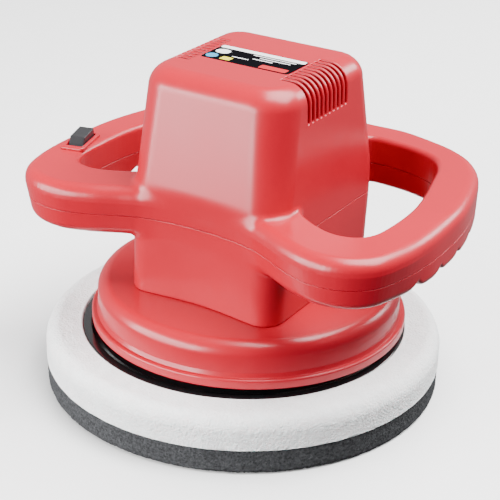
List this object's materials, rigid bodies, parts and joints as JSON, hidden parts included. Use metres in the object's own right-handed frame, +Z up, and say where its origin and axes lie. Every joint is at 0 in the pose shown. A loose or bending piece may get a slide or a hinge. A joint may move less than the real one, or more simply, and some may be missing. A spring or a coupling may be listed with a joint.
{
  "type": "dual action polisher",
  "caption": "Car polisher with a square motor cap, two loop handles and a round skirt over an orbiting foam pad.",
  "frame": {"origin": "on the motor axis at the working face of the foam pad", "axes": "+X along the handles away from the switch, +Y from the front to the cord side, +Z up along the motor axis"},
  "size_m": [0.2526, 0.24, 0.2001],
  "materials": {
    "red_plastic": "satin moulded plastic",
    "black_plastic": "gloss",
    "dark_plastic": "fine texture",
    "label_film": "printed film",
    "gland_rubber": "matt",
    "white_foam": "fine open foam",
    "grey_foam": "open foam",
    "screw_steel": "zinc plated",
    "bearing_steel": "ground",
    "laminations": "stacked sheet",
    "bracket_alloy": "die cast",
    "hub_iron": "machined",
    "winding_copper": "enamelled wire",
    "commutator_copper": "turned",
    "carbon": "pressed carbon",
    "capacitor_case": "dipped"
  },
  "bodies": {
    "housing": {"upper_housing": "red_plastic", "lower_housing": "red_plastic", "base_skirt": "red_plastic", "rating_label": "label_film", "switch_bezel": "red_plastic", "switch_body": "dark_plastic", "housing_screws": "screw_steel", "skirt_screws": "screw_steel", "cord_gland": "gland_rubber", "cord_clamp": "dark_plastic", "cord_clamp_screws": "screw_steel", "capacitor": "capacitor_case", "stator_core": "laminations", "field_coils": "winding_copper", "upper_bracket": "bracket_alloy", "lower_bracket": "bracket_alloy", "motor_screws": "screw_steel", "bracket_screws": "screw_steel", "upper_bearing": "bearing_steel", "lower_bearing": "bearing_steel", "brush_holders": "dark_plastic", "carbon_brushes": "carbon", "brush_springs": "screw_steel"},
    "rotor": {"motor_shaft": "bearing_steel", "armature_core": "laminations", "armature_windings": "winding_copper", "commutator": "commutator_copper", "cooling_fan": "dark_plastic", "eccentric_hub": "hub_iron", "counterweight": "hub_iron", "set_screw": "screw_steel", "retaining_washer": "screw_steel", "pad_bolt": "screw_steel"},
    "pad": {"pad_bearings": "bearing_steel", "bearing_spacer": "bearing_steel", "retaining_ring": "bearing_steel", "backing_plate": "black_plastic", "white_foam": "white_foam", "grey_foam": "grey_foam"},
    "rocker": {"rocker_button": "dark_plastic"}
  },
  "joints": [
    {"name": "spindle_spin", "type": "hinge", "parent": "housing", "child": "rotor", "pos_m": [0, 0, 0.1], "axis": [0, 0, 1], "continuous": true},
    {"name": "pad_spin", "type": "hinge", "parent": "rotor", "child": "pad", "pos_m": [-0.0035, 0, 0.047], "axis": [0, 0, 1], "continuous": true},
    {"name": "rocker_tilt", "type": "hinge", "parent": "housing", "child": "rocker", "pos_m": [-0.111, -0.019, 0.131], "axis": [0.9613, 0.2756, 0], "range_deg": [-12, 0]}
  ]
}
